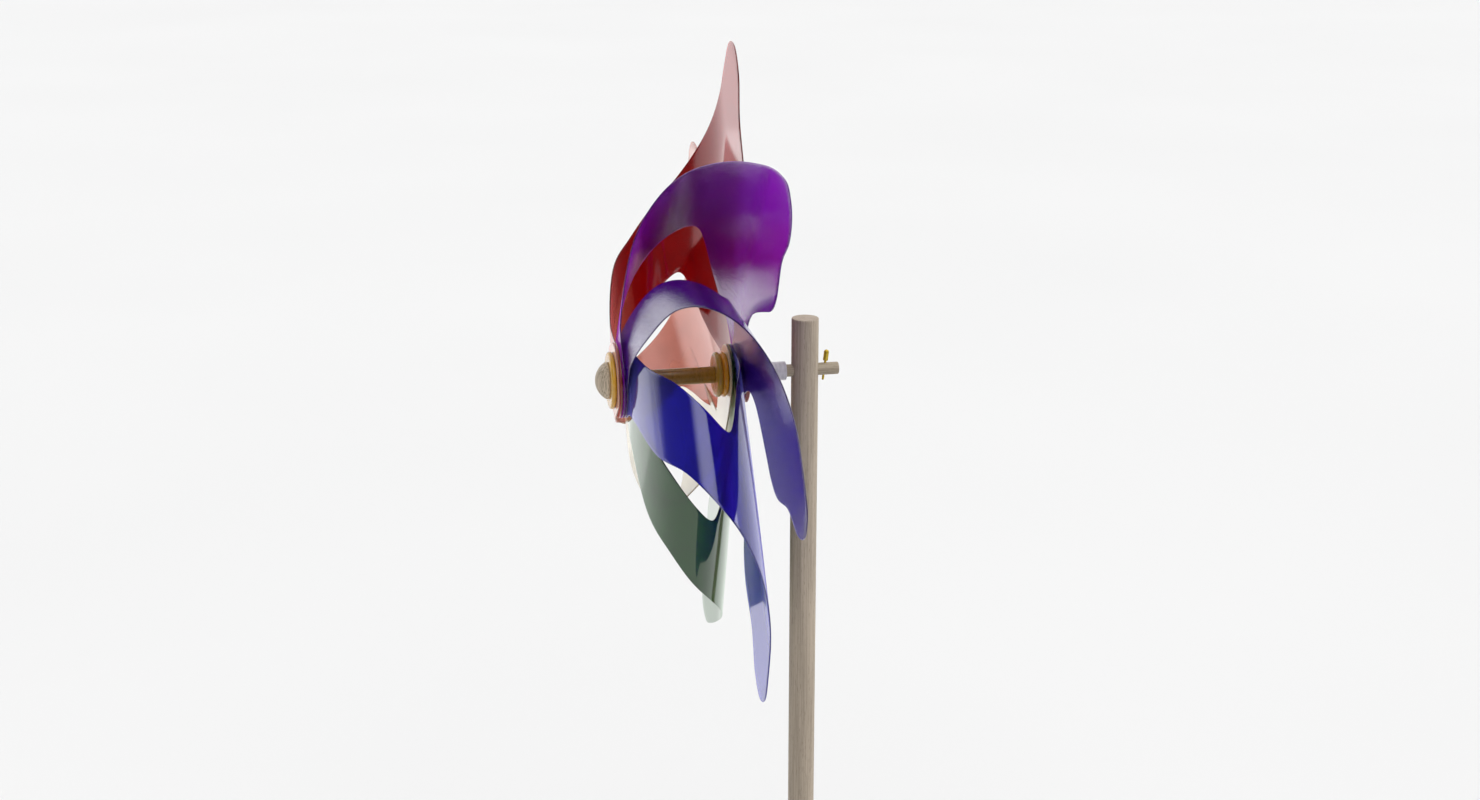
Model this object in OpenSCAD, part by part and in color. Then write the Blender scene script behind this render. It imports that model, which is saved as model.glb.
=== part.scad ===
// Garden pinwheel: seven curled plastic vanes on a wooden axle that turns in a cross hole in a wooden post.
// The post stands on the origin along +Z. The axle lies along Y, with the wheel's front facing -Y.

/* [Post] */
// Diameter of the wooden post
post_d = 12.7; // [12:0.1:16]
// Length of the wooden post
post_length = 457; // [400:1:900]
// Height of the post's top above the axle's centre line
post_over_axle = 25; // [15:1:40]
// Chamfer on the post's top edge
post_chamfer = 0.5; // [0.2:0.1:1]

/* [Axle] */
// Diameter of the wooden axle
axle_d = 5.8; // [5:0.1:6.5]
// Distance from the post's centre line to the axle's rear end
axle_rear = 16; // [13:0.5:25]
// Radial clearance of a part that turns on or in another
running_gap = 0.06; // [0.03:0.01:0.1]
// Radial clearance of a part that is glued on the axle
glue_gap = 0.02; // [0.01:0.01:0.03]

/* [Vanes] */
// Distance from the axle's centre line to a vane's tip
vane_reach = 152.4; // [145:0.1:156]
// Thickness of the plastic sheet
sheet = 0.6; // [0.5:0.1:0.8]
// Distance between one vane's front tab and the next along the axle
front_pitch = 1.25; // [1.2:0.05:1.6]
// Distance between one vane's rear tab and the next along the axle
rear_pitch = 1.4; // [1.3:0.1:1.6]
// Turn of the first vane about the axle, from straight up towards +X
first_turn = -61.5; // [-180:0.5:180]
// Radius of a vane's round front tab
front_tab_r = 17.5; // [17:0.5:20]
// Radius of a vane's round rear tab
rear_tab_r = 14; // [12.5:0.5:15]

/* [Curl] */
// Width of the flat part of the curl at the front tab
front_flat = 13; // [12:0.5:14]
// Width of the flat part of the curl at the rear tab
rear_flat = 10.7; // [10:0.1:12]
// Pull of the curl outwards as it leaves the front tab
front_pull = 67; // [60:1:72]
// Rearward lean of the curl as it leaves the front tab
front_lean = 8; // [4:0.5:9]
// Pull of the curl outwards as it leaves the rear tab
rear_pull = 48; // [44:1:52]
// Forward bow of a vane at its tip
tip_bow = 1.8; // [0:0.1:3]
// Extra waist of the last vane, as a share of its curl
last_waist = 0.09; // [0.08:0.01:0.1]

/* [Hub] */
// Distance from the post's centre line to the rearmost tab
hub_rear = 29; // [27:0.5:34]
// Distance from the post's centre line to the foremost tab
hub_front = 90; // [86:0.1:92]
// Diameter of the ring in front of the vanes
front_ring_d = 26.4; // [24:0.1:28]
// Thickness of the ring in front of the vanes
front_ring_t = 2.4; // [2:0.1:3]
// Diameter of the two rings at the rear tabs
rear_ring_d = 21; // [18:0.5:24]
// Thickness of each of the two rings at the rear tabs
rear_ring_t = 2.8; // [2:0.1:3]
// Diameter of the tube between the hubs
hub_tube_d = 7.8; // [7.2:0.1:9]
// Diameter of the thin washers between the tabs
shim_d = 14; // [10:0.5:18]
// Diameter of the domed cap
cap_d = 17; // [14:0.5:20]
// Depth of the domed cap
cap_depth = 6; // [5:0.1:9]
// Height of the cap's straight rim
cap_rim = 1.2; // [0.8:0.1:2]
// Depth of the hole in the domed cap
cap_hole = 3.6; // [3:0.1:4]
// Diameter of the spacer tube in front of the post
spacer_d = 8.8; // [8:0.1:10]
// Distance from the post's centre line to the spacer tube's rear end
spacer_rear = 9.4; // [9:0.1:12]

/* [Retaining pin] */
// Diameter of the pin's shank
pin_d = 1.1; // [0.9:0.1:1.4]
// Diameter of the pin's head
pin_head_d = 2.4; // [2:0.1:3]
// Length of the pin's head
pin_head_length = 5.3; // [3:0.1:6]
// Height of the head's underside above the axle's centre line
pin_head_height = 3.9; // [3.5:0.1:5]
// Length of the shank below the axle's centre line
pin_below = 5.4; // [4:0.1:7]
// Distance from the post's centre line to the pin
pin_behind = 9.4; // [9.2:0.1:11]
// Lean of the pin's head away from the post
pin_lean = 7; // [0:1:10]

/* [Hidden] */
$fn = 64;

VANE_COUNT = 7;
VANE_STEP = 360 / VANE_COUNT;
NOMINAL_REACH = 152.4;
STEPS = 3;            // rows between two points of the outline
COLUMNS = 9;          // strips across a vane
TAB_ROWS = 4;         // rows in the round end of each tab

axle_z = post_length - post_over_axle;
axle_r = axle_d / 2;
running_bore = axle_r + running_gap;
glue_bore = axle_r + glue_gap;
reach_scale = vane_reach / NOMINAL_REACH;
last_front = -hub_front + (VANE_COUNT - 1) * front_pitch;
last_rear = -hub_rear - (VANE_COUNT - 1) * rear_pitch;
front_ring_y = -hub_front - sheet / 2;
outer_ring_y = last_rear - sheet / 2;
inner_ring_y = outer_ring_y - rear_ring_t;
hub_tube_front = last_front + sheet / 2;
hub_tube_rear = inner_ring_y - rear_ring_t;
cap_y = front_ring_y - front_ring_t;
spacer_front = hub_rear - sheet / 2 - 0.1;

// Outlines of a vane as [place round the curl, height along the vane]. Place 0 is where the curl leaves
// the rear tab's flat part and place 1 is where it reaches the front tab's. The outer edge goes from the
// front tab over the tip to the rear tab, and the inner edge is the round notch between the two tabs.
// The waist narrows the vane behind its rear tab: the last vane needs it to clear the first one's curl.
function outer_edge(waist) =
    [[1.065, 17.5], [1.0, 24], [0.86, 49], [0.70, 62.5], [0.55, 77], [0.40, 90.5], [0.27, 103.5],
     [0.15, 117], [0.05, 130], [-0.05, 143], [-0.14, 151.5], [-0.22, 148], [-0.25, 135], [-0.225, 116],
     [-0.25, 95], [-0.225, 81], [-0.15 + waist, 67], [-0.08 + waist, 50], [-0.06 + waist, 32], [-0.13, 13]];
INNER_EDGE = [[1.065, -17.5], [0.98, -9], [0.85, 9], [0.70, 21.5], [0.55, 35], [0.45, 43.5],
              [0.39, 45], [0.34, 38], [0.28, 25], [0.22, 15.5], [0.16, 9], [0.10, 3.5],
              [0.04, -3], [-0.02, -11.5]];

// Value of a cubic curve with the four control values p at t
function cubic(p, t) =
    pow(1 - t, 3) * p[0] + 3 * pow(1 - t, 2) * t * p[1] + 3 * (1 - t) * t * t * p[2] + pow(t, 3) * p[3];

// Slope of the same curve at t
function cubic_slope(p, t) =
    3 * (pow(1 - t, 2) * (p[1] - p[0]) + 2 * (1 - t) * t * (p[2] - p[1]) + t * t * (p[3] - p[2]));

// Control points of the curl's section, as [distance out from the axle, place along Y]
function curl(y_rear, y_front) =
    [[rear_flat, y_rear], [rear_flat + rear_pull, y_rear],
     [front_flat + front_pull, y_front + front_lean], [front_flat, y_front]];

// Point of the section at t: flat before 0 and after 1
function section(p, t) =
    t < 0 ? p[0] + t * 3 * rear_pull * [1, 0]
  : t > 1 ? p[3] - (t - 1) * 3 * front_pull * [1, 0]
  : cubic(p, t);

// Unit normal of the section at t
function section_normal(p, t) =
    let (d = t < 0 ? [1, 0] : t > 1 ? [-1, 0] : cubic_slope(p, t))
    [d[1], -d[0]] / norm(d);

// Place round the curl of a point that lies u out from the axle on the rear or the front flat part
function rear_place(u) = (u - rear_flat) / (3 * rear_pull);
function front_place(u) = 1 + (front_flat - u) / (3 * front_pull);

// Catmull-Rom curve through the points, with the given number of steps between two of them
function through(pts, steps) =
    let (last = len(pts) - 1)
    [for (i = [0 : last - 1], s = [0 : steps - 1])
        let (a = pts[max(i - 1, 0)], b = pts[i], c = pts[i + 1], d = pts[min(i + 2, last)], t = s / steps)
        ((2 * b) + (c - a) * t + (2 * a - 5 * b + 4 * c - d) * t * t
         + (3 * b - a - 3 * c + d) * t * t * t) / 2,
     pts[last]];

// The curve's point at a share of its way, for sampling both edges in the same number of rows
function at_share(line, share) =
    let (x = share * (len(line) - 1), i = min(floor(x), len(line) - 2))
    line[i] + (x - i) * (line[i + 1] - line[i]);

// Points on the round ends of the two tabs: the front angle starts at the tab's far end, and the rear
// angle starts straight down and turns away from the curl
function front_tab_point(a) = [front_place(-front_tab_r * cos(a)), front_tab_r * sin(a)];
function rear_tab_point(a) = [rear_place(-rear_tab_r * sin(a)), -rear_tab_r * cos(a)];

// The angles at which a tab's rows begin and end
function tab_angles(first, last) =
    [for (i = [0 : TAB_ROWS - 1]) first + i * (last - first) / (TAB_ROWS - 1)];
front_end = [for (a = tab_angles(8, 70)) front_tab_point(a)];
rear_end_outer = [for (a = tab_angles(120, 36)) rear_tab_point(a)];
rear_end_inner = [for (a = tab_angles(-19, 28)) rear_tab_point(a)];

function outer_path(waist) = concat(front_end, through(outer_edge(waist), STEPS), rear_end_outer);
inner_line = through(INNER_EDGE, STEPS);
EDGE_ROWS = (len(outer_edge(0)) - 1) * STEPS;
inner_path = concat([for (p = front_end) [p[0], -p[1]]],
                    [for (i = [0 : EDGE_ROWS]) at_share(inner_line, i / EDGE_ROWS)], rear_end_inner);
ROWS = len(inner_path);

// Forward shift of a point at the given place and height, which bows a vane from its rear tab to its tip
function bow(place, height) =
    tip_bow * pow(max(height - rear_tab_r, 0) / (NOMINAL_REACH - rear_tab_r), 2) * max(min(1 - place, 1), 0);

// One side of the sheet as rows of points, offset along its normal by side times half the thickness
function sheet_side(p, outer, side) =
    [for (i = [0 : ROWS - 1], j = [0 : COLUMNS])
        let (q = inner_path[i] + (outer[i] - inner_path[i]) * j / COLUMNS,
             s = section(p, q[0]) + section_normal(p, q[0]) * side * sheet / 2)
        [-s[0] * reach_scale, s[1] - bow(q[0], q[1]), q[1] * reach_scale]];

// Faces of a closed sheet made of two grids with the same rows and columns
function sheet_faces(rows, columns) =
    let (w = columns + 1, n = rows * w, last = (rows - 1) * w)
    concat(
        [for (i = [0 : rows - 2], j = [0 : columns - 1])
            let (a = i * w + j) each [[a, a + 1, a + w + 1], [a, a + w + 1, a + w]]],
        [for (i = [0 : rows - 2], j = [0 : columns - 1])
            let (a = n + i * w + j) each [[a, a + w + 1, a + 1], [a, a + w, a + w + 1]]],
        [for (i = [0 : rows - 2])
            let (a = i * w, b = i * w + columns)
            each [[a, a + w, n + a + w], [a, n + a + w, n + a],
                  [b, n + b + w, b + w], [b, n + b, n + b + w]]],
        [for (j = [0 : columns - 1])
            let (a = j, b = last + j)
            each [[a, n + a + 1, a + 1], [a, n + a, n + a + 1],
                  [b, b + 1, n + b + 1], [b, n + b + 1, n + b]]]);

// Places what is drawn round Z, from 0 upwards, round the axle, from y forwards to -Y
module on_axle(y) {
    translate([0, y, axle_z]) rotate([90, 0, 0]) children();
}

// Ring with a rounded rim and a hole for the axle
module hub_ring(d, t) {
    rotate_extrude() {
        translate([glue_bore, 0]) square([d / 2 - t / 2 - glue_bore, t]);
        intersection() {
            translate([d / 2 - t / 2, t / 2]) circle(t / 2);
            translate([d / 2 - t / 2, 0]) square([t / 2, t]);
        }
    }
}

module tube(d, bore, length) {
    difference() {
        cylinder(d = d, h = length);
        translate([0, 0, -1]) cylinder(r = bore, h = length + 2);
    }
}

// Vane number index, counted from the one whose front tab is foremost
module vane(index, waist = 0) {
    y_front = -hub_front + index * front_pitch;
    y_rear = -hub_rear - index * rear_pitch;
    p = curl(y_rear, y_front);
    outer = outer_path(waist);
    difference() {
        translate([0, 0, axle_z]) rotate([0, first_turn + index * VANE_STEP, 0])
            polyhedron(points = concat(sheet_side(p, outer, 1), sheet_side(p, outer, -1)),
                       faces = sheet_faces(ROWS, COLUMNS), convexity = 6);
        on_axle(y_rear + 5) cylinder(r = glue_bore, h = y_rear - y_front + 10);
    }
}

// Thin washers between tabs that lie pitch apart, from the tab at y towards the front
module shims(y, pitch) {
    for (i = [0 : VANE_COUNT - 2]) {
        on_axle(y - i * pitch - sheet / 2) tube(shim_d, glue_bore, pitch - sheet);
    }
}

module post() {
    color("burlywood") difference() {
        rotate_extrude() polygon([[0, 0], [post_d / 2, 0], [post_d / 2, post_length - post_chamfer],
                                  [post_d / 2 - post_chamfer, post_length], [0, post_length]]);
        on_axle(post_d) cylinder(r = running_bore, h = 2 * post_d);
    }
}

module axle() {
    front = -cap_y + cap_hole - 0.2;
    color("wheat") difference() {
        on_axle(axle_rear) cylinder(d = axle_d, h = axle_rear + front);
        translate([0, pin_behind, axle_z]) rotate([-pin_lean, 0, 0])
            cylinder(d = pin_d + 2 * glue_gap, h = 2 * axle_d, center = true);
    }
}

module spacer_tube() {
    color("lightgrey") on_axle(-spacer_rear) tube(spacer_d, running_bore, spacer_front - spacer_rear);
}

module hub_tube() {
    color("goldenrod") on_axle(hub_tube_rear) tube(hub_tube_d, glue_bore, hub_tube_rear - hub_tube_front);
}

module domed_cap() {
    dome_h = cap_depth - cap_rim;
    dome_r = (pow(cap_d / 2, 2) + pow(dome_h, 2)) / (2 * dome_h);
    color("tan") on_axle(cap_y) difference() {
        intersection() {
            cylinder(d = cap_d, h = cap_depth);
            translate([0, 0, cap_depth - dome_r]) sphere(dome_r);
        }
        translate([0, 0, -1]) cylinder(r = glue_bore, h = cap_hole + 1);
    }
}

module front_ring() {
    color("gold") on_axle(front_ring_y) hub_ring(front_ring_d, front_ring_t);
}

module rear_ring_inner() {
    color("gold") on_axle(inner_ring_y) hub_ring(rear_ring_d, rear_ring_t);
}

module rear_ring_outer() {
    color("orange") on_axle(outer_ring_y) hub_ring(rear_ring_d, rear_ring_t);
}

module front_shims() {
    color("ivory") shims(last_front, front_pitch);
}

module rear_shims() {
    color("ivory") shims(-hub_rear, rear_pitch);
}

module vane_orange() { color("orange", 0.8) vane(0); }
module vane_red() { color("firebrick", 0.8) vane(1); }
module vane_violet() { color("purple", 0.8) vane(2); }
module vane_indigo() { color("indigo", 0.8) vane(3); }
module vane_blue() { color("blue", 0.8) vane(4); }
module vane_green() { color("seagreen", 0.8) vane(5); }
module vane_yellow() { color("gold", 0.8) vane(6, last_waist); }

module retaining_pin() {
    color("goldenrod") translate([0, pin_behind, axle_z]) rotate([-pin_lean, 0, 0]) {
        translate([0, 0, -pin_below]) cylinder(d = pin_d, h = pin_below + pin_head_height + 1);
        translate([0, 0, pin_head_height]) rotate_extrude() {
            head_r = pin_head_d / 2;
            square([head_r, pin_head_length - head_r]);
            intersection() {
                translate([0, pin_head_length - head_r]) circle(head_r);
                square([head_r, pin_head_length]);
            }
        }
    }
}

post();
axle();
spacer_tube();
hub_tube();
domed_cap();
front_ring();
rear_ring_inner();
rear_ring_outer();
front_shims();
rear_shims();
vane_orange();
vane_red();
vane_violet();
vane_indigo();
vane_blue();
vane_green();
vane_yellow();
retaining_pin();
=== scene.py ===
"""Garden pinwheel: smooth curled vanes, turned wood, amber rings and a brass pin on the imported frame."""
import math

import bmesh
import bpy
from mathutils import Matrix, Vector


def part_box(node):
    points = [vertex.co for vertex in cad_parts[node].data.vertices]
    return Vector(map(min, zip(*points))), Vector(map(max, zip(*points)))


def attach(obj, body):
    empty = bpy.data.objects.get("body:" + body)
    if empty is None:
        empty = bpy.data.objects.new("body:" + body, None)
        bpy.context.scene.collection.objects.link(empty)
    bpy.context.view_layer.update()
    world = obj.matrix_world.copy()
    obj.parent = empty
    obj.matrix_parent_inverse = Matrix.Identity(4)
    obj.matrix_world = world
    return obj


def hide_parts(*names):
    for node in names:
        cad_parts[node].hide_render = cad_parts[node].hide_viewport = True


MM = 0.001

# Camera: a 50 mm lens on the wheel's right side, turned a little towards its front and looking down
CAMERA_TURN = math.radians(11.77)
CAMERA_HEIGHT = math.radians(16.45)
CAMERA_DISTANCE = 0.955
CAMERA_DROP = 0.01245
WHEEL_MIDDLE_Y = -0.0309

# Studio: brightness of the white wall, the dim ones, the window and the skylight. Each place is a turn in
# degrees from the wheel's front towards +X, and a height in degrees above level
WHITE_WALL = 0.95
DIM_WALL = 0.06
WINDOW = 1.35
WALL_PLACE = (-125, 22)
WINDOW_PLACE = (-50, 14)
SKYLIGHT = 2.2
SKYLIGHT_PLACE = (86, 54)

# Vane, in millimetres: the same outline and curl as the CAD model's. An edge is a list of points, each a
# place round the curl and a height along the vane. The values are rounded from a curve fit
SHEET = 0.6
FIRST_TURN = math.radians(-61.5)
FRONT_TAB_R = 17.5
REAR_TAB_R = 14.0
FRONT_FLAT = 13.0
REAR_FLAT = 10.7
FRONT_PULL = 67.0
FRONT_LEAN = 8.0
REAR_PULL = 48.0
TIP_BOW = 1.8
LAST_WAIST = 0.09
VANE_REACH = 152.4
OUTER_EDGE = [(1.065, 17.5), (1.0, 24), (0.86, 49), (0.70, 62.5), (0.55, 77), (0.40, 90.5),
              (0.27, 103.5), (0.15, 117), (0.05, 130), (-0.05, 143), (-0.14, 151.5), (-0.22, 148),
              (-0.25, 135), (-0.225, 116), (-0.25, 95), (-0.225, 81), (-0.15, 67), (-0.08, 50),
              (-0.06, 32), (-0.13, 13)]
WAIST = range(16, 19)
INNER_EDGE = [(1.065, -17.5), (0.98, -9), (0.85, 9), (0.70, 21.5), (0.55, 35), (0.45, 43.5),
              (0.39, 45), (0.34, 38), (0.28, 25), (0.22, 15.5), (0.16, 9), (0.10, 3.5),
              (0.04, -3), (-0.02, -11.5)]
EDGE_STEPS = 7
TAB_ROWS = 10
COLUMNS = 26
RIM_STEPS = 4
ROUND = 96

VANES = ["orange", "red", "violet", "indigo", "blue", "green", "yellow"]

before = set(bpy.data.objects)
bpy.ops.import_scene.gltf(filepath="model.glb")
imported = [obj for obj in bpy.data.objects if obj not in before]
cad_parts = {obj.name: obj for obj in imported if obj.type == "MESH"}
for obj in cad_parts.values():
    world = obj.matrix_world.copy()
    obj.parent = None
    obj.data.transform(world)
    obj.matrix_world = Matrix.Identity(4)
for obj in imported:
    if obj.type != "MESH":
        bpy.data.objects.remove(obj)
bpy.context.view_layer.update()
scene = bpy.context.scene


# ---------------------------------------------------------------- the places that the frame gives

def middle(node):
    low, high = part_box(node)
    return (low + high) / 2


def radius(node):
    low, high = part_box(node)
    return (high.x - low.x) / 2


AXLE_Z = middle("axle").z
AXLE_R = radius("axle")
GLUE_BORE = AXLE_R + 0.02 * MM
RUNNING_BORE = AXLE_R + 0.06 * MM


# ---------------------------------------------------------------- camera, floor and lights

def view_axes():
    """The camera's right, up and backward directions."""
    right = Vector((math.sin(CAMERA_TURN), math.cos(CAMERA_TURN), 0))
    level = Vector((math.cos(CAMERA_TURN), -math.sin(CAMERA_TURN), 0))
    up = Vector((0, 0, 1)) * math.cos(CAMERA_HEIGHT) - level * math.sin(CAMERA_HEIGHT)
    back = level * math.cos(CAMERA_HEIGHT) + Vector((0, 0, 1)) * math.sin(CAMERA_HEIGHT)
    return right, up, back


def add_camera():
    right, up, back = view_axes()
    data = bpy.data.cameras.new("camera")
    data.lens = 50
    data.sensor_width = 36
    camera = bpy.data.objects.new("camera", data)
    turn = Matrix((right, up, back)).transposed().to_4x4()
    place = Vector((0, WHEEL_MIDDLE_Y, AXLE_Z)) + back * CAMERA_DISTANCE - up * CAMERA_DROP
    camera.matrix_world = Matrix.Translation(place) @ turn
    scene.collection.objects.link(camera)
    scene.camera = camera


def heading(turn, height):
    """Direction at a turn from the wheel's front (-Y) towards +X and a height above level, in degrees."""
    turn, height = math.radians(turn), math.radians(height)
    level = math.cos(height)
    return Vector((math.sin(turn) * level, -math.cos(turn) * level, math.sin(height)))


def add_softbox(name, turn, height, distance, width, tall, brightness, gloss_only=False):
    """A rectangular light that faces the wheel, seen only in reflections if it is gloss_only."""
    data = bpy.data.lights.new(name, "AREA")
    data.shape = "RECTANGLE"
    data.size = width
    data.size_y = tall
    data.energy = brightness * math.pi * width * tall
    light = bpy.data.objects.new(name, data)
    away = heading(turn, height)
    light.location = Vector((0, WHEEL_MIDDLE_Y, AXLE_Z)) + away * distance
    light.rotation_euler = (-away).to_track_quat("-Z", "Y").to_euler()
    light.visible_camera = False
    light.visible_diffuse = not gloss_only
    scene.collection.objects.link(light)


def add_sun(name, turn, height, angle, strength):
    data = bpy.data.lights.new(name, "SUN")
    data.energy = strength
    data.angle = math.radians(angle)
    sun = bpy.data.objects.new(name, data)
    sun.rotation_euler = (-heading(turn, height)).to_track_quat("-Z", "Y").to_euler()
    scene.collection.objects.link(sun)


def add_floor():
    bm = bmesh.new()
    bmesh.ops.create_grid(bm, x_segments=4, y_segments=4, size=14)
    mesh = bpy.data.meshes.new("floor")
    bm.to_mesh(mesh)
    bm.free()
    floor = bpy.data.objects.new("floor", mesh)
    scene.collection.objects.link(floor)
    mesh.materials.append(floor_paint())


def add_world():
    """A studio with one white wall that fades into dim ones, a soft window and a skylight."""
    world = bpy.data.worlds.new("studio")
    world.use_nodes = True
    tree = world.node_tree
    place = tree.nodes.new("ShaderNodeTexCoord").outputs["Generated"]

    def glow(middle_place, edge, full, low, high):
        """Brightness that rises from low to high towards a place, by the cosine of the angle to it."""
        toward = tree.nodes.new("ShaderNodeVectorMath")
        toward.operation = "DOT_PRODUCT"
        toward.inputs[1].default_value = heading(*middle_place)
        tree.links.new(place, toward.inputs[0])
        fade = tree.nodes.new("ShaderNodeMapRange")
        fade.interpolation_type = "SMOOTHSTEP"
        fade.inputs["From Min"].default_value = edge
        fade.inputs["From Max"].default_value = full
        fade.inputs["To Min"].default_value = low
        fade.inputs["To Max"].default_value = high
        tree.links.new(toward.outputs["Value"], fade.inputs["Value"])
        return fade.outputs["Result"]

    def plus(first, second):
        """Sum of two brightnesses."""
        total = tree.nodes.new("ShaderNodeMath")
        tree.links.new(first, total.inputs[0])
        tree.links.new(second, total.inputs[1])
        return total.outputs["Value"]

    walls = glow(WALL_PLACE, 0.15, 0.55, DIM_WALL, WHITE_WALL)
    window = glow(WINDOW_PLACE, 0.90, 0.97, 0, WINDOW)
    skylight = glow(SKYLIGHT_PLACE, 0.80, 1.0, 0, SKYLIGHT)
    windows = plus(window, skylight)
    background = tree.nodes["Background"]
    background.inputs["Color"].default_value = (1, 1, 1, 1)
    tree.links.new(plus(walls, windows), background.inputs["Strength"])
    scene.world = world


# ---------------------------------------------------------------- materials

class Paint:
    """One material: a principled shader and the nodes that feed it."""

    def __init__(self, name):
        self.material = bpy.data.materials.new(name)
        self.material.use_nodes = True
        self.tree = self.material.node_tree
        self.shader = self.tree.nodes["Principled BSDF"]
        self.place = self.tree.nodes.new("ShaderNodeTexCoord").outputs["Object"]

    def add(self, kind, **settings):
        node = self.tree.nodes.new(kind)
        for key, value in settings.items():
            setattr(node, key, value)
        return node

    def feed(self, source, target):
        self.tree.links.new(source, target)

    def noise(self, size, detail=3.0, rough=0.5, seed=0.0):
        """Noise whose spots have the given size in metres along X, Y and Z."""
        mapping = self.add("ShaderNodeMapping")
        mapping.inputs["Scale"].default_value = [1 / s for s in size]
        mapping.inputs["Location"].default_value = (seed, seed, seed)
        noise = self.add("ShaderNodeTexNoise")
        noise.inputs["Scale"].default_value = 1.0
        noise.inputs["Detail"].default_value = detail
        noise.inputs["Roughness"].default_value = rough
        self.feed(self.place, mapping.inputs["Vector"])
        self.feed(mapping.outputs["Vector"], noise.inputs["Vector"])
        return noise.outputs["Fac"]

    def ramp(self, value, stops):
        """Colour ramp through (place, colour) stops."""
        ramp = self.add("ShaderNodeValToRGB")
        elements = ramp.color_ramp.elements
        while len(elements) < len(stops):
            elements.new(0.5)
        for element, (place, colour) in zip(elements, stops):
            element.position = place
            element.color = (*colour, 1)
        self.feed(value, ramp.inputs["Fac"])
        return ramp.outputs["Color"]

    def spread(self, value, low, high):
        """The value, which runs from about 0.3 to 0.7, mapped to low to high."""
        spread = self.add("ShaderNodeMapRange")
        spread.inputs["From Min"].default_value = 0.3
        spread.inputs["From Max"].default_value = 0.7
        spread.inputs["To Min"].default_value = low
        spread.inputs["To Max"].default_value = high
        self.feed(value, spread.inputs["Value"])
        return spread.outputs["Result"]

    def mix(self, share, first, second, blend="MIX"):
        mix = self.add("ShaderNodeMix", data_type="RGBA", blend_type=blend)
        self.feed(first, mix.inputs["A"])
        self.feed(second, mix.inputs["B"])
        mix.inputs["Factor"].default_value = share
        return mix.outputs["Result"]

    def bump(self, height, depth, strength=1.0, under=None):
        """Bump of the given depth in metres, on top of another bump."""
        bump = self.add("ShaderNodeBump")
        bump.inputs["Strength"].default_value = strength
        bump.inputs["Distance"].default_value = depth
        self.feed(height, bump.inputs["Height"])
        if under:
            self.feed(under, bump.inputs["Normal"])
        return bump.outputs["Normal"]

    def finish(self, colour, roughness, normal, **constants):
        """Links the three patterns, sets the constants by socket name and returns the material."""
        self.feed(colour, self.shader.inputs["Base Color"])
        self.feed(roughness, self.shader.inputs["Roughness"])
        self.feed(normal, self.shader.inputs["Normal"])
        for key, value in constants.items():
            self.shader.inputs[key.replace("_", " ")].default_value = value
        return self.material


def scaled(colour, factor):
    return tuple(min(c * factor, 1.0) for c in colour)


def floor_paint():
    """Matt white paper for the studio floor."""
    paint = Paint("floor_paint")
    cloud = paint.noise((0.8, 0.8, 0.8), 2.0)
    colour = paint.ramp(cloud, [(0.3, (0.83, 0.83, 0.83)), (0.7, (0.845, 0.845, 0.845))])
    roughness = paint.spread(cloud, 0.85, 0.95)
    return paint.finish(colour, roughness, paint.bump(cloud, 0.2 * MM, 0.1), Specular_IOR_Level=0.1)


def wood_paint(name, light, dark, along, fibre=0.55 * MM, run=45 * MM):
    """Turned hardwood with its fibres along one axis, 0 for X, 1 for Y and 2 for Z."""
    paint = Paint(name)

    def size(across, length):
        return [length if axis == along else across for axis in range(3)]

    figure = paint.noise(size(fibre * 5, run * 2), 3.0, 0.55, 3.0)
    fibres = paint.noise(size(fibre, run), 4.0, 0.65)
    pores = paint.noise(size(fibre * 0.45, run * 0.12), 2.0, 0.6, 7.0)
    body = paint.ramp(figure, [(0.34, dark), (0.66, light)])
    threads = paint.ramp(fibres, [(0.36, scaled(dark, 0.85)), (0.6, scaled(light, 1.08))])
    colour = paint.mix(0.55, body, threads)
    dots = paint.ramp(pores, [(0.30, scaled(dark, 0.55)), (0.40, (1, 1, 1))])
    colour = paint.mix(0.55, colour, dots, "MULTIPLY")
    normal = paint.bump(pores, 0.05 * MM, 0.25, paint.bump(fibres, 0.08 * MM, 0.45))
    return paint.finish(colour, paint.spread(fibres, 0.52, 0.70), normal, Specular_IOR_Level=0.35)


def sheet_paint(name, colour, sheen, grain):
    """Coloured clear plastic sheet, with a sheen of its own at a glancing view.

    The grain in its gloss goes from 0 for smooth to 1 for sparkling.
    """
    paint = Paint(name)
    cloud = paint.noise((14 * MM, 14 * MM, 14 * MM), 2.0)
    specks = paint.noise((0.8 * MM, 0.8 * MM, 0.8 * MM), 1.0, 0.5, 5.0)
    tone = paint.ramp(cloud, [(0.3, scaled(colour, 0.92)), (0.7, scaled(colour, 1.08))])
    roughness = paint.spread(specks, 0.08, 0.10 + 0.10 * grain)
    normal = paint.bump(specks, 0.12 * MM, 0.02 + 0.9 * grain)
    paint.feed(normal, paint.shader.inputs["Coat Normal"])
    return paint.finish(tone, roughness, normal, Transmission_Weight=0.72, IOR=1.5,
                        Coat_Weight=1.0 - 0.5 * grain, Coat_Roughness=0.1,
                        Sheen_Weight=0.8, Sheen_Roughness=0.4, Sheen_Tint=(*sheen, 1))


def moulded_paint(name, colour, clear, rough=0.25):
    """Moulded plastic, from opaque at clear = 0 to glassy at 1, with faint flow marks."""
    paint = Paint(name)
    flow = paint.noise((5 * MM, 1.2 * MM, 5 * MM), 3.0)
    dust = paint.noise((0.5 * MM, 0.5 * MM, 0.5 * MM), 2.0, 0.5, 4.0)
    tone = paint.ramp(flow, [(0.3, scaled(colour, 0.86)), (0.7, scaled(colour, 1.12))])
    normal = paint.bump(dust, 0.01 * MM, 0.25, paint.bump(flow, 0.03 * MM, 0.3))
    return paint.finish(tone, paint.spread(dust, rough - 0.06, rough + 0.08), normal,
                        Transmission_Weight=clear, IOR=1.49, Coat_Weight=0.3, Coat_Roughness=0.1)


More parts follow.
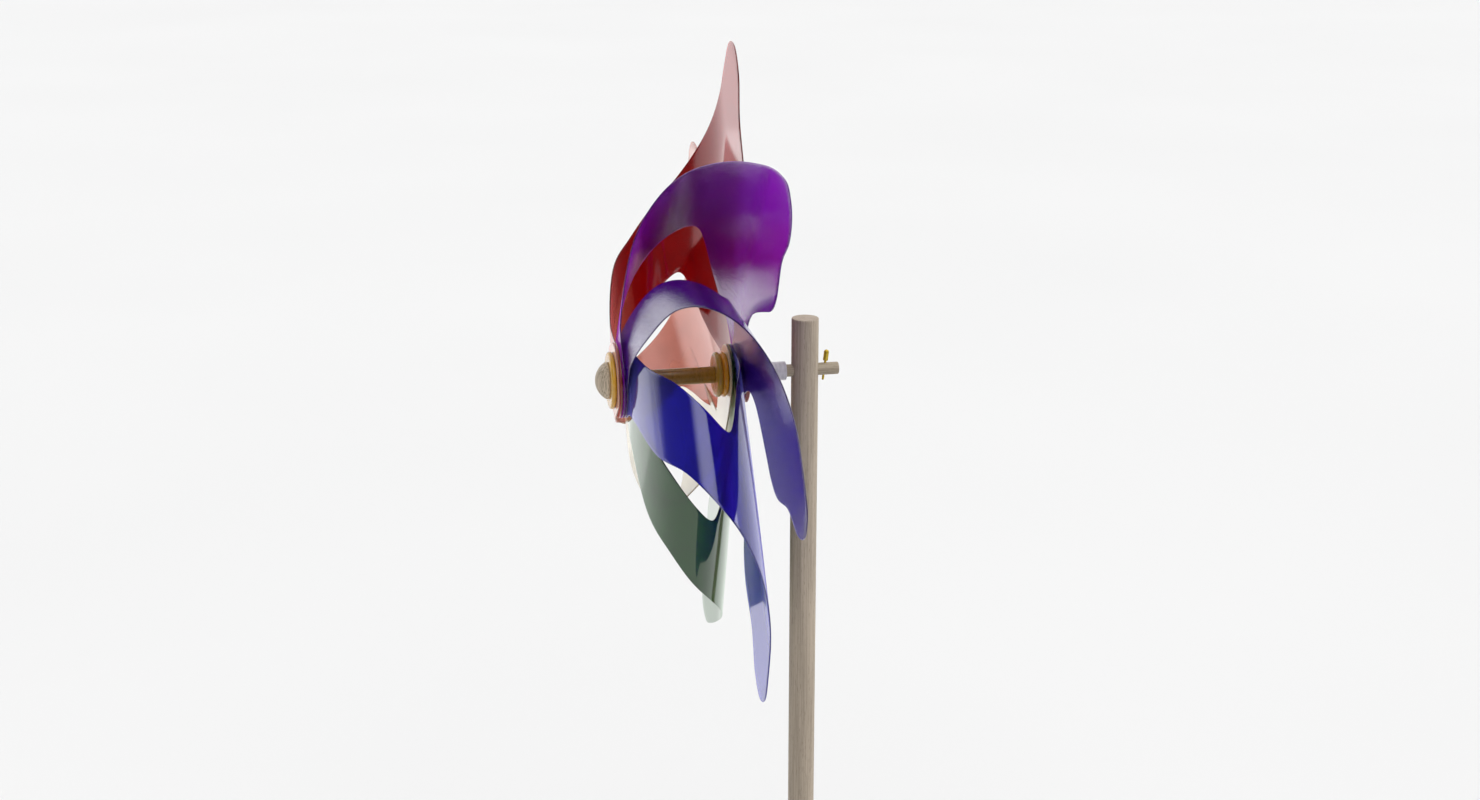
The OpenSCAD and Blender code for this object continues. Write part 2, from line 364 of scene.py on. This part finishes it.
def brass_paint():
    paint = Paint("brass")
    turned = paint.noise((0.8 * MM, 0.8 * MM, 0.12 * MM), 3.0)
    tarnish = paint.noise((1.5 * MM, 1.5 * MM, 1.5 * MM), 2.0, 0.5, 6.0)
    colour = paint.ramp(tarnish, [(0.3, (0.42, 0.29, 0.03)), (0.65, (0.60, 0.43, 0.06))])
    normal = paint.bump(turned, 0.02 * MM, 0.4)
    return paint.finish(colour, paint.spread(tarnish, 0.24, 0.42), normal, Metallic=1.0)


# ---------------------------------------------------------------- mesh tools

def piece(name, verts, faces, paint, body, node):
    """A smooth mesh in the row's frame that stands for a CAD node and moves with its body."""
    mesh = bpy.data.meshes.new(name)
    mesh.from_pydata([tuple(v) for v in verts], [], faces)
    bm = bmesh.new()
    bm.from_mesh(mesh)
    bmesh.ops.remove_doubles(bm, verts=bm.verts, dist=1e-7)
    bmesh.ops.recalc_face_normals(bm, faces=bm.faces)
    bm.to_mesh(mesh)
    bm.free()
    obj = bpy.data.objects.new(name, mesh)
    scene.collection.objects.link(obj)
    mesh.materials.append(paint)
    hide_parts(node)
    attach(obj, body)
    return obj


def smooth(obj, angle=40):
    """Smooth shading, with edges sharper than the angle left crisp."""
    mesh = obj.data
    mesh.polygons.foreach_set("use_smooth", [True] * len(mesh.polygons))
    mesh.set_sharp_from_angle(angle=math.radians(angle))


def arc(centre, r, first, last, steps=6):
    """Points of a profile's round corner, with angles in degrees from outwards to along."""
    turns = [math.radians(first + (last - first) * i / steps) for i in range(steps + 1)]
    return [(centre[0] + r * math.cos(a), centre[1] + r * math.sin(a)) for a in turns]


def lathe(profile, place, closed=True):
    """Vertices and faces of a profile of (radius, way along) points, turned about an axis.

    place turns (radius, angle, way along) into a point. A closed profile makes a ring, and an open one
    begins and ends on the axis.
    """
    rows = len(profile)
    verts = []
    for r, along in profile:
        verts += [place(r, 2 * math.pi * k / ROUND, along) for k in range(ROUND)]
    faces = []
    for i in range(rows if closed else rows - 1):
        a, b = i * ROUND, (i + 1) % rows * ROUND
        for k in range(ROUND):
            n = (k + 1) % ROUND
            faces.append((a + k, a + n, b + n, b + k))
    return verts, faces


def about_axle(r, angle, along):
    """A point on a lathe whose axis is the axle, with along as its Y."""
    return Vector((r * math.cos(angle), along, AXLE_Z + r * math.sin(angle)))


def about_post(r, angle, along):
    return Vector((r * math.cos(angle), r * math.sin(angle), along))


def cut(obj, verts, faces):
    """Cuts a closed mesh out of a piece."""
    mesh = bpy.data.meshes.new("cutter")
    mesh.from_pydata([tuple(v) for v in verts], [], faces)
    bm = bmesh.new()
    bm.from_mesh(mesh)
    bmesh.ops.remove_doubles(bm, verts=bm.verts, dist=1e-7)
    bmesh.ops.recalc_face_normals(bm, faces=bm.faces)
    bm.to_mesh(mesh)
    bm.free()
    cutter = bpy.data.objects.new("cutter", mesh)
    scene.collection.objects.link(cutter)
    boolean = obj.modifiers.new("cut", "BOOLEAN")
    boolean.object = cutter
    boolean.solver = "EXACT"
    bpy.context.view_layer.update()
    solid = obj.evaluated_get(bpy.context.evaluated_depsgraph_get())
    result = bpy.data.meshes.new_from_object(solid)
    obj.modifiers.clear()
    obj.data = result
    bpy.data.objects.remove(cutter)


def rod(r, low, high, place):
    """A plain closed rod for cutting holes."""
    return lathe([(0, low), (r, low), (r, high), (0, high)], place, closed=False)


# ---------------------------------------------------------------- the vanes

def curl(y_rear, y_front):
    """Control points of the curl's section, as (distance out from the axle, place along Y)."""
    return [Vector((REAR_FLAT, y_rear)), Vector((REAR_FLAT + REAR_PULL, y_rear)),
            Vector((FRONT_FLAT + FRONT_PULL, y_front + FRONT_LEAN)), Vector((FRONT_FLAT, y_front))]


def section(p, t):
    """Point of the section and its unit normal at t: flat before 0 and after 1."""
    if t < 0:
        point, slope = p[0] + Vector((t * 3 * REAR_PULL, 0)), Vector((1, 0))
    elif t > 1:
        point, slope = p[3] - Vector(((t - 1) * 3 * FRONT_PULL, 0)), Vector((-1, 0))
    else:
        s = 1 - t
        point = p[0] * s ** 3 + p[1] * 3 * s * s * t + p[2] * 3 * s * t * t + p[3] * t ** 3
        slope = (p[1] - p[0]) * s * s + (p[2] - p[1]) * 2 * s * t + (p[3] - p[2]) * t * t
    return point, Vector((slope.y, -slope.x)).normalized()


def through(points, steps):
    """Catmull-Rom curve through the points."""
    last = len(points) - 1
    line = []
    for i in range(last):
        a, b, c, d = (Vector(points[min(max(i + k, 0), last)]) for k in (-1, 0, 1, 2))
        for s in range(steps):
            t = s / steps
            line.append((2 * b + (c - a) * t + (2 * a - 5 * b + 4 * c - d) * t * t
                         + (3 * b - a - 3 * c + d) * t ** 3) / 2)
    line.append(Vector(points[last]))
    return line


def at_share(line, share):
    x = share * (len(line) - 1)
    i = min(int(x), len(line) - 2)
    return line[i].lerp(line[i + 1], x - i)


def tab_angles(first, last):
    return [math.radians(first + (last - first) * i / (TAB_ROWS - 1)) for i in range(TAB_ROWS)]


def front_tab_point(a, side):
    out = -FRONT_TAB_R * math.cos(a)
    return Vector((1 + (FRONT_FLAT - out) / (3 * FRONT_PULL), side * FRONT_TAB_R * math.sin(a)))


def rear_tab_point(a):
    out = -REAR_TAB_R * math.sin(a)
    return Vector(((out - REAR_FLAT) / (3 * REAR_PULL), -REAR_TAB_R * math.cos(a)))


def vane_paths(waist):
    """The outer and the inner edge of a vane, as points of (place round the curl, height along the vane)."""
    edge = [(t + (waist if i in WAIST else 0), h) for i, (t, h) in enumerate(OUTER_EDGE)]
    middle_line = through(edge, EDGE_STEPS)
    inner_line = through(INNER_EDGE, EDGE_STEPS)
    rows = len(middle_line)
    outer = [front_tab_point(a, 1) for a in tab_angles(5, 78)] + middle_line
    outer += [rear_tab_point(a) for a in tab_angles(125, 36)]
    inner = [front_tab_point(a, -1) for a in tab_angles(5, 78)]
    inner += [at_share(inner_line, i / (rows - 1)) for i in range(rows)]
    inner += [rear_tab_point(a) for a in tab_angles(-32, 28)]
    return outer, inner


def bow(place, height):
    above = max(height - REAR_TAB_R, 0) / (VANE_REACH - REAR_TAB_R)
    return TIP_BOW * above ** 2 * max(min(1 - place, 1), 0)


def vane_mesh(index, y_front, y_rear, waist):
    """A vane as closed loops of points round its sheet, from the front tab to the rear tab."""
    p = curl(y_rear, y_front)
    turn = Matrix.Rotation(FIRST_TURN + index * 2 * math.pi / len(VANES), 3, "Y")
    outer, inner = vane_paths(waist)

    def point(q, offset):
        s, normal = section(p, q.x)
        s = s + normal * offset
        local = turn @ Vector((-s.x, s.y - bow(q.x, q.y), q.y))
        return local * MM + Vector((0, 0, AXLE_Z))

    rim = [math.pi * (k + 1) / (2 * (RIM_STEPS + 1)) for k in range(2 * RIM_STEPS + 1)]
    half = SHEET / 2
    verts = []
    for a, b in zip(inner, outer):
        width = max((point(a, 0) - point(b, 0)).length / MM, 4 * half)
        inset = half / width
        loop = [(inset + (1 - 2 * inset) * j / COLUMNS, half) for j in range(COLUMNS + 1)]
        loop += [(1 - inset + inset * math.sin(x), half * math.cos(x)) for x in rim]
        loop += [(1 - inset - (1 - 2 * inset) * j / COLUMNS, -half) for j in range(COLUMNS + 1)]
        loop += [(inset - inset * math.sin(x), -half * math.cos(x)) for x in rim]
        verts += [point(a.lerp(b, x), offset) for x, offset in loop]
    around = len(verts) // len(outer)
    faces = []
    for i in range(len(outer) - 1):
        for k in range(around):
            n = (k + 1) % around
            faces.append((i * around + k, i * around + n, (i + 1) * around + n, (i + 1) * around + k))
    faces.append(tuple(range(around)))
    faces.append(tuple(len(verts) - 1 - k for k in range(around)))
    return verts, faces


# Each sheet's colour, the colour of its sheen, and its grain
SHEET_COLOURS = {
    "orange": ((0.76, 0.26, 0.19), (1.00, 0.60, 0.52), 0.02),
    "red": ((0.28, 0.001, 0.001), (1.00, 0.22, 0.22), 0.02),
    "violet": ((0.19, 0.007, 0.38), (0.55, 0.02, 0.95), 1.0),
    "indigo": ((0.05, 0.004, 0.22), (0.04, 0.005, 0.24), 1.0),
    "blue": ((0.012, 0.009, 0.36), (0.25, 0.25, 1.00), 0.02),
    "green": ((0.006, 0.060, 0.006), (0.05, 0.24, 0.05), 0.02),
    "yellow": ((0.95, 0.84, 0.58), (0.97, 0.88, 0.70), 0.02),
}


def add_vanes():
    front_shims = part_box("front_shims")
    rear_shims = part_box("rear_shims")
    gaps = len(VANES) - 1
    front_pitch = ((front_shims[1].y - front_shims[0].y) / MM + SHEET) / gaps
    rear_pitch = ((rear_shims[1].y - rear_shims[0].y) / MM + SHEET) / gaps
    y_front = front_shims[0].y / MM - SHEET / 2
    y_rear = rear_shims[1].y / MM + SHEET / 2
    hole = rod(GLUE_BORE, -0.1, 0.0, about_axle)
    for index, colour in enumerate(VANES):
        waist = LAST_WAIST if index == gaps else 0
        y_front_tab = y_front + index * front_pitch
        y_rear_tab = y_rear - index * rear_pitch
        verts, faces = vane_mesh(index, y_front_tab, y_rear_tab, waist)
        paint = sheet_paint(f"{colour}_sheet", *SHEET_COLOURS[colour])
        node = f"vane_{colour}"
        vane = piece(f"{colour}_vane", verts, faces, paint, "wheel", node)
        cut(vane, *hole)
        smooth(vane)


# ---------------------------------------------------------------- the post and the axle

def add_post():
    low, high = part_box("post")
    r = radius("post")
    edge = 0.5 * MM
    profile = [(0, low.z), (r - edge, low.z)]
    profile += arc((r - edge, low.z + edge), edge, -90, 0)
    profile += [(r, low.z + (high.z - low.z) * i / 12) for i in range(1, 12)]
    profile += arc((r - edge, high.z - edge), edge, 0, 90) + [(0, high.z)]
    verts, faces = lathe(profile, about_post, closed=False)
    paint = wood_paint("post_wood", (0.50, 0.42, 0.33), (0.34, 0.28, 0.215), 2)
    post = piece("turned_post", verts, faces, paint, "stand", "post")
    cut(post, *rod(RUNNING_BORE, -2 * r, 2 * r, about_axle))
    smooth(post)


def add_axle():
    low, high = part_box("axle")
    edge = 0.35 * MM
    profile = [(0, low.y), (AXLE_R - edge, low.y), (AXLE_R, low.y + edge), (AXLE_R, high.y - edge)]
    profile += arc((AXLE_R - edge, high.y - edge), edge, 0, 90) + [(0, high.y)]
    verts, faces = lathe(profile, about_axle, closed=False)
    paint = wood_paint("axle_wood", (0.46, 0.39, 0.29), (0.31, 0.25, 0.18), 1, 0.4 * MM, 20 * MM)
    axle = piece("axle_rod", verts, faces, paint, "wheel", "axle")
    smooth(axle)


def add_cap():
    low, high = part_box("domed_cap")
    r = radius("domed_cap")
    rim = 1.2 * MM
    hole = 3.6 * MM
    depth = high.y - low.y
    dome = depth - rim
    dome_r = (r * r + dome * dome) / (2 * dome)
    spread = math.degrees(math.asin(r / dome_r))
    edge = 0.3 * MM
    profile = [(0, high.y - hole), (GLUE_BORE, high.y - hole), (GLUE_BORE, high.y)]
    profile += [(r - edge, high.y), (r, high.y - edge)]
    profile += arc((0, low.y + dome_r), dome_r, -90 + spread, -90, 24)
    verts, faces = lathe(profile, about_axle, closed=False)
    paint = wood_paint("cap_wood", (0.76, 0.64, 0.50), (0.28, 0.22, 0.15), 2, 0.75 * MM, 60 * MM)
    cap = piece("dome_cap", verts, faces, paint, "wheel", "domed_cap")
    smooth(cap)


# ---------------------------------------------------------------- rings, tubes and washers

def add_ring(name, node, paint):
    """A ring with a half-round rim and softly broken edges at its bore."""
    low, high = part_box(node)
    r = radius(node)
    half = (high.y - low.y) / 2
    mid = (high.y + low.y) / 2
    edge = 0.25 * MM
    profile = arc((GLUE_BORE + edge, high.y - edge), edge, 90, 180, 3)
    profile += arc((GLUE_BORE + edge, low.y + edge), edge, 180, 270, 3)
    profile += arc((r - half, mid), half, -90, 90, 20)
    verts, faces = lathe(profile, about_axle)
    ring = piece(name, verts, faces, paint, "wheel", node)
    smooth(ring)


def tube_profile(bore, r, low, high, edge):
    profile = arc((bore + edge, high - edge), edge, 90, 180, 3)
    profile += arc((bore + edge, low + edge), edge, 180, 270, 3)
    profile += arc((r - edge, low + edge), edge, -90, 0, 4)
    return profile + arc((r - edge, high - edge), edge, 0, 90, 4)


def add_tube(name, node, body, bore, paint):
    low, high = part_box(node)
    verts, faces = lathe(tube_profile(bore, radius(node), low.y, high.y, 0.25 * MM), about_axle)
    tube = piece(name, verts, faces, paint, body, node)
    smooth(tube)


def add_washers(name, node, paint):
    """The thin washers that fill the gaps between the tabs."""
    low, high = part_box(node)
    gaps = len(VANES) - 1
    sheet = SHEET * MM
    pitch = (high.y - low.y + sheet) / gaps
    verts, faces = [], []
    for i in range(gaps):
        start = low.y + i * pitch
        profile = tube_profile(GLUE_BORE, radius(node), start, start + pitch - sheet, 0.12 * MM)
        ring_verts, ring_faces = lathe(profile, about_axle)
        faces += [tuple(v + len(verts) for v in face) for face in ring_faces]
        verts += ring_verts
    washers = piece(name, verts, faces, paint, "wheel", node)
    smooth(washers)


def add_pin():
    """Headed brass pin, leaning away from the post."""
    low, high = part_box("retaining_pin")
    lean = math.radians(7)
    shank = 0.55 * MM
    tip_edge = 0.3 * MM
    head = 1.2 * MM
    head_edge = 0.35 * MM
    head_low = 3.9 * MM
    head_high = 9.2 * MM
    foot = -5.4 * MM
    start = Vector((0, 9.4 * MM, AXLE_Z))
    turn = Matrix.Rotation(-lean, 3, "X")

    def place(r, angle, along):
        return start + turn @ Vector((r * math.cos(angle), r * math.sin(angle), along))

    profile = [(0, foot)] + arc((shank - tip_edge, foot + tip_edge), tip_edge, -90, 0)
    profile += [(shank, head_low)]
    profile += arc((head - head_edge, head_low + head_edge), head_edge, -90, 0)
    profile += arc((0, head_high - head), head, 0, 90, 12)
    verts, faces = lathe(profile, place, closed=False)
    pin = piece("brass_pin", verts, faces, brass_paint(), "wheel", "retaining_pin")
    smooth(pin)


# ---------------------------------------------------------------- the scene

scene.view_settings.view_transform = "Standard"
add_camera()
add_world()
add_floor()
add_softbox("low_card", -60, -14, 0.95, 0.75, 0.36, 0.40, gloss_only=True)
add_sun("key", 176, 42, 50, 1.2)

add_vanes()
add_post()
add_axle()
add_cap()
amber = moulded_paint("amber", (0.66, 0.36, 0.04), 0.0)
dark_amber = moulded_paint("dark_amber", (1.0, 0.38, 0.02), 0.0)
tube_amber = moulded_paint("tube_amber", (0.50, 0.24, 0.02), 0.1, 0.3)
milky = moulded_paint("milky", (0.76, 0.73, 0.80), 0.45, 0.35)
clear = moulded_paint("clear_washer", (0.9, 0.88, 0.85), 0.8)
add_ring("front_amber_ring", "front_ring", amber)
add_ring("rear_amber_ring", "rear_ring_inner", amber)
add_ring("rear_dark_ring", "rear_ring_outer", dark_amber)
add_tube("hub_sleeve", "hub_tube", "wheel", GLUE_BORE, tube_amber)
add_tube("spacer_sleeve", "spacer_tube", "spacer", RUNNING_BORE, milky)
add_washers("front_washers", "front_shims", clear)
add_washers("rear_washers", "rear_shims", clear)
add_pin()
